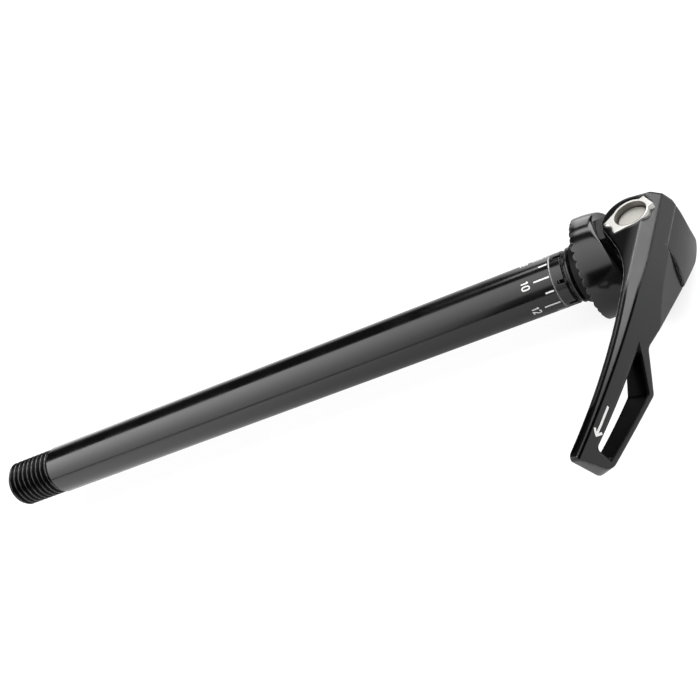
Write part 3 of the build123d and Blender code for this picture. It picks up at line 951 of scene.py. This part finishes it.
@dataclass
class Drive:
    """Bolt, washer and spring inside the tube."""

    def dress(self, finishes: Finishes, effects: Effects) -> None:
        """Gives the bolt, the washer and the spring their steels.

        Args:
            finishes: Finishes of the axle.
            effects: Shared node groups.
        """
        bolt = finishes.bolt.material(effects, Lines.ALONG_AXLE)
        dress_node("tension_bolt", bolt)
        dress_node("bolt_washer", bolt)
        dress_node("return_spring", finishes.spring.material(effects))


def soft_min(first: np.ndarray, second: np.ndarray, blend: float) -> np.ndarray:
    """Smaller of two heights with a rounded crease.

    b (1 - h) + a h - k h (1 - h), with h = 1/2 + (b - a) / 2k held between 0 and 1.

    Args:
        first: Heights a.
        second: Heights b.
        blend: Width k of the round, in the heights' own unit.

    Returns:
        The heights.
    """
    share = np.clip(0.5 + (second - first) / (2 * blend), 0.0, 1.0)
    return second * (1 - share) + first * share - blend * share * (1 - share)


@dataclass
class ClampCup:
    """Cup with a toothed face, domed back, saddle and splined nose, its pad and its rings, in millimetres."""

    face_x: float = 7.2
    rim_r: float = 11.4
    rim_chamfer: float = 0.25
    dome_x: float = 8.2
    dome_r: float = 20.0
    dome_end: float = 16.4
    dome_inner: float = 7.5
    dome_rows: int = 44
    flat_rows: int = 20
    end_round: float = 0.65
    lip: float = 1.3
    saddle_r: float = 22.0
    saddle_x: float = 34.3
    saddle_y: float = 2.5
    hole_r: float = 2.8
    teeth: int = 36
    tooth_depth: float = 0.7
    tooth_gap: float = 1.1
    tooth_inner: float = 8.2
    tooth_rows: int = 5
    boss_r: float = 6.6
    boss_flare: float = 0.8
    boss_x: float = 4.8
    neck_x: float = 4.2
    neck_r: float = 5.2
    nose_x: float = -5.0
    spline_root: float = 3.75
    spline_tip: float = 4.25
    spline_steep: float = 4.0
    splines: int = 12
    row_gap: float = 0.02
    columns: int = 360

    def back_rows(self, turn: np.ndarray) -> tuple[np.ndarray, np.ndarray]:
        """Back from the bolt's hole to the rim: the soft minimum of a dome, the saddle and an end face.

        Dome: r = rim_r - R (1 - cos b), x = dome_x + R sin b. Saddle: x = X - sqrt(S^2 - (r cos turn - Y)^2).

        Args:
            turn: Angles of the columns.

        Returns:
            Places along the axle and radii, by row and column.
        """
        inner = np.linspace(self.hole_r, self.dome_inner, self.flat_rows)[:-1]
        widest = np.arccos(1 - (self.rim_r - self.dome_inner) / self.dome_r)
        outer = self.rim_r - self.dome_r * (1 - np.cos(np.linspace(widest, 0.0, self.dome_rows)))
        r = np.concatenate([inner, outer])[:, None] * np.ones_like(turn)
        level = 1 - np.clip((self.rim_r - r) / self.dome_r, 0.0, 1.0)
        dome = self.dome_x + self.dome_r * np.sqrt(1 - level ** 2)
        saddle = self.saddle_x - np.sqrt(self.saddle_r ** 2 - (r * np.cos(turn) - self.saddle_y) ** 2)
        end = np.full_like(dome, self.dome_end)
        return soft_min(soft_min(dome, end, self.end_round), saddle, self.lip), r

    def front_rows(self, turn: np.ndarray) -> tuple[np.ndarray, np.ndarray]:
        """Rim, toothed face, boss and splined nose.

        Each gap between teeth is a V: depth (1 - 2 r sin(away) / gap), with away the angle from its middle.

        Args:
            turn: Angles of the columns.

        Returns:
            Places along the axle and radii, by row and column.
        """
        pitch = 2 * np.pi / self.teeth
        away = np.abs(np.mod(turn + pitch / 2, pitch) - pitch / 2)
        flat = np.ones_like(turn)
        tooth_r = np.linspace(self.rim_r - self.rim_chamfer, self.tooth_inner, self.tooth_rows)
        face_r = np.concatenate([[self.rim_r], tooth_r])
        vee = np.clip(1 - 2 * face_r[:, None] * np.sin(away) / self.tooth_gap, 0.0, 1.0) * self.tooth_depth
        vee[0] = np.maximum(vee[0], self.rim_chamfer)
        share = np.clip(np.cos(self.splines * turn) * self.spline_steep, -1.0, 1.0) * 0.5 + 0.5
        spline = self.spline_root + (self.spline_tip - self.spline_root) * share
        plain = np.array([
            (self.face_x, self.tooth_inner - self.row_gap), (self.face_x, self.boss_r + self.boss_flare),
            (self.boss_x, self.boss_r), (self.boss_x, self.neck_r), (self.neck_x, self.neck_r),
        ])
        nose_x = np.array([self.neck_x, self.nose_x, self.nose_x])[:, None] * flat
        nose_r = np.stack([spline, spline, self.hole_r * flat])
        x = np.concatenate([self.face_x + vee, plain[:, :1] * flat, nose_x])
        r = np.concatenate([face_r[:, None] * flat, plain[:, 1:] * flat, nose_r])
        return x, r

    def build(self) -> bpy.types.Object:
        """Joins back and front and carries them round the axle. Faces of the boss take material 1.

        Returns:
            The cup.
        """
        turn = np.linspace(0.0, 2 * np.pi, self.columns, endpoint=False)
        x, r = (np.concatenate(pair) for pair in zip(self.back_rows(turn), self.front_rows(turn)))
        points, quads = turned(x, r, turn)
        made = mesh_object("toothed_cup", points, quads)
        face_x, face_r = face_middles(points, quads)
        boss = (face_r < self.tooth_inner) & (face_x < self.face_x)
        made.data.polygons.foreach_set("material_index", boss.astype(np.int32))
        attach(made, Body.CUP.value)
        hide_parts("cam_cup")
        return made

    def dress(self, made: bpy.types.Object, finishes: Finishes, effects: Effects) -> None:
        """Gives the cup its polished black, its boss a matt one, and the pad and the rings their blacks.

        Args:
            made: The cup.
            finishes: Finishes of the axle.
            effects: Shared node groups.
        """
        made.data.materials.append(finishes.cup.material(effects, Lines.ALONG_AXLE))
        made.data.materials.append(finishes.boss.material(effects, Lines.ALONG_AXLE))
        rings = finishes.collet.material(effects, Lines.ALONG_AXLE)
        dress_node("split_collet", rings)
        dress_node("cone_ring", rings)
        dress_node("cam_pad", finishes.pad.material(effects))


@dataclass
class Pivot:
    """Trunnion and the two bushes in which it turns, in millimetres."""

    x: float = 20.5

    def dress(self, finishes: Finishes, effects: Effects) -> None:
        """Gives the pin its turned steel and the bushes their silver.

        Args:
            finishes: Finishes of the axle.
            effects: Shared node groups.
        """
        dress_node("trunnion", finishes.pin.material(effects, Lines.ROUND_PIVOT))
        bush = finishes.bush.material(effects, Lines.ROUND_PIVOT)
        dress_node("bush_near", bush)
        dress_node("bush_far", bush)


@dataclass
class CamLever:
    """Lever with a plain arrow printed on its long facet beside the window, in millimetres."""

    lean_deg: float = 12.0
    facet_height: float = 7.1
    facet_start: float = 10.0
    facet_r: float = 184.0
    facet_slope_deg: float = 15.0
    print_lift: float = 0.012
    arrow_tail: Span = (48.6, 5.0)
    arrow_tip: Span = (55.0, 4.6)
    arrow_head: float = 1.1
    arrow_spread: float = 0.9
    line_width: float = 0.5
    window: tuple[Span, ...] = ((32.2, 3.9), (40.0, -2.3), (57.0, -0.7), (57.0, 3.2))
    window_soft: Span = (0.05, 0.2)
    land_across: float = 9.8
    land_height: float = 2.85
    land_start: float = 22.0
    land_taper_deg: float = 4.9
    land_r: float = 150.0
    land_dims: Span = (49.0, 56.0)
    # Where the painted dark lines along the chamfer's edges fade in, grow and reach.
    seam_fade: Span = (18.0, 25.0)
    seam_grows: Span = (44.0, 58.0)
    seam_depth: Span = (0.25, 0.35)
    seam_depth_soft: Span = (-0.04, 0.03)
    seam_reach: Span = (0.08, 2.0)
    seam_reach_soft: Span = (-0.04, 0.0)
    edge_soft: Span = (-0.12, -0.08)
    cheek_soft: Span = (-0.1, -0.05)
    cheek_glow: Span = (-2.0, -0.3)
    cheek_fade: Span = (12.0, 24.0)

    def axes(self, kit: Kit) -> list[Socket]:
        """Place in the lever's own axes, from the pivot at X, with a the lean.

        out = -(x - X) sin a - y cos a, up = (x - X) cos a - y sin a, across = z

        Args:
            kit: Kit of the lever's tree.

        Returns:
            Out along the arm, up from it and across it, in millimetres.
        """
        lean = np.radians(self.lean_deg)
        ways = ((-np.sin(lean), -np.cos(lean), 0.0), (np.cos(lean), -np.sin(lean), 0.0), (0.0, 0.0, 1.0))
        return [
            kit.minus(kit.times(kit.dot(kit.place(), way), 1.0 / MM), way[0] * Pivot.x) for way in ways]

    def height(self, kit: Kit, top: float, past: Socket, radius: float) -> Socket:
        """Height of an arc that falls along the arm: top - (R - sqrt(R^2 - past^2))."""
        square = kit.minus(radius ** 2, kit.math("POWER", past, 2.0))
        return kit.minus(top, kit.minus(radius, kit.math("SQRT", square)))

    def side_masks(self, kit: Kit, out: Socket, up: Socket, across: Socket) -> tuple[Socket, Socket]:
        """Masks of painted shade on the near cheek and of painted dark lines along the chamfer's edges, from
        distances d to three surfaces.

        The chamfer stands at 45 degrees to the land. The near dark line has d_land > -depth, and the one by
        the facet has d_chamfer / 2 + d_facet > -0.1.

        Args:
            kit: Kit of the lever's tree.
            out: Distance out along the arm.
            up: Distance up from it.
            across: Distance across it.

        Returns:
            1 on the cheek and 0 elsewhere, and 1 on the painted dark lines and 0 elsewhere.
        """
        taper, slope = np.radians(self.land_taper_deg), np.radians(self.facet_slope_deg)
        past = kit.math("MAXIMUM", kit.minus(out, self.land_start), 0.0)
        side = kit.minus(self.land_across, kit.times(past, np.tan(taper)))
        low = self.height(kit, self.land_height, kit.math("DIVIDE", past, np.cos(taper)), self.land_r)
        on_land = kit.minus(across, side)
        on_chamfer = kit.times(kit.plus(on_land, kit.minus(up, low)), np.sqrt(0.5))
        past = kit.math("MAXIMUM", kit.minus(out, self.facet_start), 0.0)
        facet = self.height(kit, self.facet_height, past, self.facet_r)
        level = kit.plus(up, kit.times(across, np.tan(slope)))
        on_facet = kit.times(kit.minus(level, facet), np.cos(slope))
        depth = kit.plus(on_land, kit.ramp(out, *self.seam_grows, *self.seam_depth))
        reach = kit.plus(on_chamfer, kit.ramp(out, *self.land_dims, *self.seam_reach))
        # Painted dark lines along both edges of the chamfer.
        near = kit.times(kit.rise(depth, self.seam_depth_soft), kit.rise(reach, self.seam_reach_soft))
        far = kit.rise(kit.plus(kit.times(on_chamfer, 0.5), on_facet), self.edge_soft)
        shade_lines = kit.times(kit.math("MAXIMUM", near, far), kit.rise(out, self.seam_fade))
        # Painted shade on the near cheek, fading towards the chamfer and along the arm.
        cheek = kit.times(
            kit.rise(on_land, self.cheek_soft), kit.fall(on_chamfer, self.cheek_glow),
            kit.fall(out, self.cheek_fade))
        return cheek, shade_lines

    def window_mask(self, kit: Kit, out: Socket, across: Socket) -> Socket:
        """Mask of painted shade on the window's walls: inside all the planes through its sides.

        A side from A to B, out along the arm and across it, has the outward normal (B - A) turned by a
        right angle.

        Args:
            kit: Kit of the lever's tree.
            out: Distance out along the arm.
            across: Distance across it.

        Returns:
            1 within the window, and 0 a fifth of a millimetre outside it.
        """
        corners = np.array(self.window)
        sides = np.roll(corners, -1, axis=0) - corners
        outward = np.stack([sides[:, 1], -sides[:, 0]], axis=1) / np.linalg.norm(sides, axis=1, keepdims=True)
        mask = 1.0
        for normal, limit in zip(outward, (outward * corners).sum(axis=1)):
            away = kit.plus(kit.times(out, normal[0]), kit.times(across, normal[1]))
            mask = kit.times(mask, kit.fall(kit.minus(away, limit), self.window_soft))
        return mask

    def dull_masks(self, kit: Kit) -> tuple[Socket, Socket]:
        """Masks of painted shade: the near cheek, and the window's walls with the painted dark lines.

        Args:
            kit: Kit of the lever's tree.

        Returns:
            1 where painted shade takes the black's reflections away, and 1 where the painted edge highlights
            don't show either.
        """
        out, up, across = self.axes(kit)
        cheek, shade_lines = self.side_masks(kit, out, up, across)
        return cheek, kit.math("MAXIMUM", self.window_mask(kit, out, across), shade_lines)

    def on_facet(self, along: np.ndarray, across: np.ndarray) -> np.ndarray:
        """Places on the facet: its height falls by an arc along the arm and by the slope across it.

        height = facet_height - (R - sqrt(R^2 - (along - start)^2)) - across tan(slope)

        Args:
            along: Distances along the arm from the pivot.
            across: Distances along the pivot.

        Returns:
            Places in millimetres, one row each.
        """
        past = np.maximum(along - self.facet_start, 0.0)
        drop = self.facet_r - np.sqrt(self.facet_r ** 2 - past ** 2)
        slope = np.tan(np.radians(self.facet_slope_deg))
        height = self.facet_height - drop - across * slope + self.print_lift
        lean = np.radians(self.lean_deg)
        x = Pivot.x - along * np.sin(lean) + height * np.cos(lean)
        y = -along * np.cos(lean) - height * np.sin(lean)
        return np.stack([x, y, across], axis=1)

    def build(self) -> bpy.types.Object:
        """Lays two ribbons, a shaft and a head with two sides, on the facet.

        Returns:
            The printed arrow.
        """
        tail, tip = np.array(self.arrow_tail), np.array(self.arrow_tip)
        ahead = (tip - tail) / np.linalg.norm(tip - tail)
        side = np.array([-ahead[1], ahead[0]]) * self.arrow_spread
        barbs = [tip - self.arrow_head * (ahead + sign * side) for sign in (-1, 1)]
        paths = (straight(tail, tip, steps=12), straight(barbs[0], tip, barbs[1]))
        flat, quads = joined([stroke(path, self.line_width) for path in paths])
        made = mesh_object("printed_arrow", self.on_facet(flat[:, 0], flat[:, 1]), quads)
        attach(made, Body.LEVER.value)
        return made

    def dress(self, made: bpy.types.Object, finishes: Finishes, effects: Effects) -> None:
        """Gives the lever its satin black with painted shade and painted edge highlights, and the arrow its
        white print.

        Args:
            made: The printed arrow.
            finishes: Finishes of the axle.
            effects: Shared node groups.
        """
        # The lever's black carries painted shade from its masks.
        dress_node("lever", finishes.lever.material(effects, dull=self.dull_masks))
        white = finishes.print_white
        wear(made, bpy.data.materials.get(white.name) or white.material(effects))


@dataclass
class Studio:
    """Pale floor, soft dome of light and the camera.

    Lengths are in millimetres. In the dome, x is a direction's share along the axle, and a tilt is its
    angle round the axle in degrees.
    """

    floor_half: float = 4000.0
    floor_points: int = 9
    floor_gap: float = 0.02
    floor_roughness: float = 0.9
    floor_shine: float = 0.1
    seen_tone: float = 0.25
    seen_glow: float = 0.8
    sheet_tone: float = 0.5
    sheet_glow: float = 0.5
    sheet_fade: Span = (-150.0, -30.0)
    eye: tuple[float, float, float] = (86.08, -232.88, 176.16)
    right: tuple[float, float, float] = (0.84336, 0.109, -0.526)
    back: tuple[float, float, float] = (0.42993, -0.724, 0.539)
    lens: float = 71.7
    sensor: float = 36.0
    clip: Span = (0.01, 50.0)
    cup_x: Span = (-0.29, -0.22)
    over_x: Span = (-0.7, -0.2)
    over_bright: Span = (3.6, 2.1)
    over_rise: Span = (73.0, 79.0)
    over_fall: Span = (175.0, 147.0)
    over_soft: Span = (-4.0, 4.0)
    over_end: float = 172.0
    over_tail: float = 0.4
    side_x: Span = (-0.27, -0.22)
    side_bright: float = 4.3
    side_rise_x: Span = (-0.02, 0.1)
    side_rise: Span = (46.0, 27.0)
    side_fall_x: Span = (0.1, 0.4)
    side_fall: Span = (56.0, 69.0)
    side_soft: Span = (-3.0, 3.0)
    rear_x: Span = (-0.1, 0.05)
    rear_bright: Span = (0.5, 2.3)
    rear_rise: Span = (-30.0, -25.0)
    rear_fall: Span = (16.5, 34.0)
    rear_soft: Span = (-2.5, 2.5)
    right_end: Span = (0.8, 0.93)
    gloom: float = 0.01
    backdrop: float = 1.0

    def floor_material(self) -> bpy.types.Material:
        """Pale matt floor: evenly white to the camera, and a dimmer sheet, lit from the left, to the part.

        Returns:
            The node material.
        """
        made = bpy.data.materials.new("pale_floor")
        made.use_nodes = True
        kit = Kit(made.node_tree)
        seen, sheet = (kit.node("ShaderNodeBsdfPrincipled") for _ in range(2))
        for shader, tone in ((seen, self.seen_tone), (sheet, self.sheet_tone)):
            shader.inputs["Roughness"].default_value = self.floor_roughness
            shader.inputs["Specular IOR Level"].default_value = self.floor_shine
            shader.inputs["Base Color"].default_value = (tone, tone, tone, 1.0)
        seen.inputs["Emission Strength"].default_value = self.seen_glow
        x, _, _ = kit.parts(kit.place())
        start, stop = self.sheet_fade
        kit.feed(sheet.inputs["Emission Strength"], kit.ramp(x, start * MM, stop * MM, self.sheet_glow, 0.0))
        kit.for_camera(seen, sheet, "ShaderNodeOutputMaterial")
        return made

    def floor(self) -> None:
        """Lays a flat square grid under the part's lowest point."""
        steps = np.linspace(-self.floor_half, self.floor_half, self.floor_points)
        x, y = (part.ravel() for part in np.meshgrid(steps, steps, indexing="ij"))
        z = np.full_like(x, CAD_BOX[0][2] / MM - self.floor_gap)
        quads = grid_quads(self.floor_points, self.floor_points, False)
        made = mesh_object("studio_floor", np.stack([x, y, z], axis=1), quads)
        wear(made, self.floor_material())

    def light(self) -> None:
        """Fills the dome: an overhead band, a box at the right, a wall behind, and gloom between them."""
        world = bpy.data.worlds.new("studio_dome")
        bpy.context.scene.world = world
        world.use_nodes = True
        kit = Kit(world.node_tree)
        x, y, z = kit.parts(kit.node("ShaderNodeTexCoord").outputs["Generated"])
        tilt = kit.times(kit.math("ARCTAN2", z, y), 180.0 / np.pi)
        over = kit.times(
            kit.rise(tilt, self.over_rise),
            kit.fall(kit.minus(tilt, kit.ramp(x, *self.cup_x, *self.over_fall)), self.over_soft),
            kit.ramp(tilt, self.over_rise[1], self.over_end, 1.0, self.over_tail),
            kit.ramp(x, *self.over_x, *self.over_bright))
        side = kit.times(
            kit.rise(kit.minus(tilt, kit.ramp(x, *self.side_rise_x, *self.side_rise)), self.side_soft),
            kit.fall(kit.minus(tilt, kit.ramp(x, *self.side_fall_x, *self.side_fall)), self.side_soft),
            kit.ramp(x, *self.side_x, 0.0, self.side_bright))
        rear = kit.times(
            kit.rise(tilt, self.rear_rise),
            kit.fall(kit.minus(tilt, kit.ramp(x, *self.cup_x, *self.rear_fall)), self.rear_soft),
            kit.ramp(x, *self.cup_x, *self.rear_bright),
            kit.fall(x, self.rear_x))
        boxes = kit.times(kit.plus(over, side), kit.fall(x, self.right_end))
        lamp, plain = (kit.node("ShaderNodeBackground") for _ in range(2))
        for shader, strength in ((lamp, kit.plus(boxes, kit.plus(rear, self.gloom))), (plain, self.backdrop)):
            shader.inputs["Color"].default_value = (1.0, 1.0, 1.0, 1.0)
            kit.feed(shader.inputs["Strength"], strength)
        kit.for_camera(plain, lamp, "ShaderNodeOutputWorld")

    def camera(self) -> None:
        """Sets the camera at the photograph's viewing angle."""
        back = Vector(self.back).normalized()
        right = Vector(self.right)
        right = (right - back * right.dot(back)).normalized()
        up = back.cross(right)
        data = bpy.data.cameras.new("camera")
        data.lens = self.lens
        data.sensor_width = self.sensor
        data.clip_start, data.clip_end = self.clip
        made = bpy.data.objects.new("camera", data)
        turn = Matrix((right, up, back)).transposed().to_4x4()
        made.matrix_world = Matrix.Translation(Vector(self.eye) * MM) @ turn
        bpy.context.scene.collection.objects.link(made)
        bpy.context.scene.camera = made
        bpy.context.scene.view_settings.view_transform = "Standard"


def main() -> None:
    """Builds and dresses every sub-assembly, then the studio."""
    logging.basicConfig(level=logging.INFO, format="%(name)s %(message)s")
    effects, finishes = Effects.made(), Finishes()
    tube, scale, cup, lever, studio = AxleTube(), PrintedScale(), ClampCup(), CamLever(), Studio()
    tube.dress(tube.build(), finishes, effects)
    scale.dress(scale.build(), finishes, effects)
    Drive().dress(finishes, effects)
    cup.dress(cup.build(), finishes, effects)
    Pivot().dress(finishes, effects)
    lever.dress(lever.build(), finishes, effects)
    studio.floor()
    studio.light()
    studio.camera()


if __name__ == "__main__":
    main()
